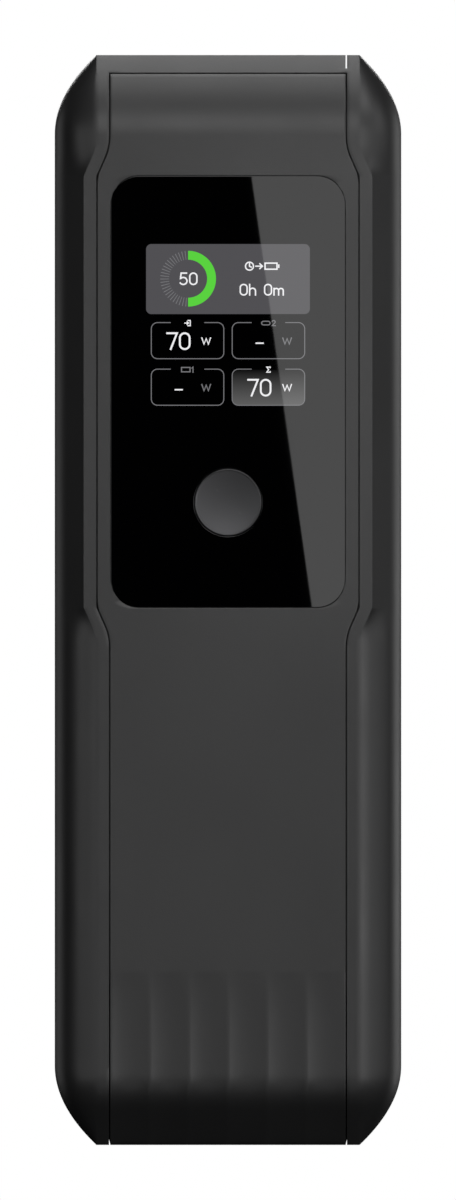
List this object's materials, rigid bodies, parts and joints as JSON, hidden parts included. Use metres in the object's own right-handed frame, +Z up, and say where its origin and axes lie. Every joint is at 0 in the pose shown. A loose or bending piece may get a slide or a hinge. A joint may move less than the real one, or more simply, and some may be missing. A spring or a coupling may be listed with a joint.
{
  "type": "power bank",
  "caption": "Tall pocket power bank with a black display lens and push button in front, sockets on top, curved ends and a fluted foot.",
  "frame": {"origin": "centre of the flat base, on the surface it stands on", "axes": "+Z up the body to the sockets, -Y out of the display, +X to the right as seen from the front"},
  "size_m": [0.0494, 0.0548, 0.1557],
  "materials": {
    "housing_plastic": "fine moulded grain, matte",
    "panel_plastic": "fine moulded grain, matte, fluted at its foot",
    "cap_plastic": "fine moulded grain, matte",
    "lens": "polished black lens",
    "button_metal": "anodised dark grey, satin dish",
    "screen": "colour screen module",
    "tape": "double-sided foam tape",
    "inner_plastic": "plain moulding",
    "circuit_board": "solder mask",
    "flat_cable": "polyimide film",
    "cell_sleeve": "shrink sleeve",
    "nickel": "bright nickel strip",
    "insulation": "insulating paper",
    "foam": "closed-cell foam",
    "moulded_coil": "pressed iron powder",
    "capacitor_can": "bare can",
    "chip": "moulded package",
    "connector": "black moulding",
    "thermal_pad": "soft pad",
    "heat_spreader": "plain sheet",
    "screw_steel": "zinc plated",
    "socket_steel": "drawn and plated",
    "wire_red": "silicone sleeve",
    "wire_black": "silicone sleeve"
  },
  "bodies": {
    "charger_body": {"base_cap": "cap_plastic", "base_foam_pad": "foam", "battery_wire_negative": "wire_black", "battery_wire_positive": "wire_red", "bulk_capacitors": "capacitor_can", "bus_strips_bottom": "nickel", "bus_strips_middle": "nickel", "bus_strips_top": "nickel", "cell_1": "cell_sleeve", "cell_2": "cell_sleeve", "cell_3": "cell_sleeve", "cell_4": "cell_sleeve", "cell_5": "cell_sleeve", "cell_6": "cell_sleeve", "cell_7": "cell_sleeve", "cell_8": "cell_sleeve", "cell_holder_bottom": "inner_plastic", "cell_holder_middle": "inner_plastic", "cell_holder_top": "inner_plastic", "charge_controller": "chip", "display_board": "circuit_board", "display_bracket": "inner_plastic", "display_flex": "flat_cable", "display_lens": "lens", "display_screws": "screw_steel", "front_housing": "housing_plastic", "front_panel": "panel_plastic", "front_panel_tape": "tape", "heat_spreader": "heat_spreader", "housing_screws": "screw_steel", "layer_separators": "insulation", "lens_tape": "tape", "main_board": "circuit_board", "main_board_screws": "screw_steel", "pack_foam_pad": "foam", "pack_insulator_bottom": "insulation", "port_board": "circuit_board", "port_board_screws": "screw_steel", "port_cap": "cap_plastic", "port_ribbon": "flat_cable", "power_inductor_left": "moulded_coil", "power_inductor_right": "moulded_coil", "power_transistors": "chip", "rear_housing": "housing_plastic", "rear_panel": "panel_plastic", "rear_panel_tape": "tape", "ribbon_connector_main": "connector", "ribbon_connector_ports": "connector", "screen_module": "screen", "switch_base": "inner_plastic", "switch_dome": "nickel", "thermal_pad": "thermal_pad", "usb_a_insert": "connector", "usb_a_shell": "socket_steel", "usb_c_insert_1": "connector", "usb_c_insert_2": "connector", "usb_c_shell_1": "socket_steel", "usb_c_shell_2": "socket_steel"},
    "button": {"power_button": "button_metal", "switch_plunger": "inner_plastic"}
  },
  "joints": [
    {"name": "power_button_press", "type": "slide", "parent": "charger_body", "child": "button", "axis": [0, 1, 0], "range_m": [0, 0.00025], "stiffness_N_per_m": 6000}
  ]
}
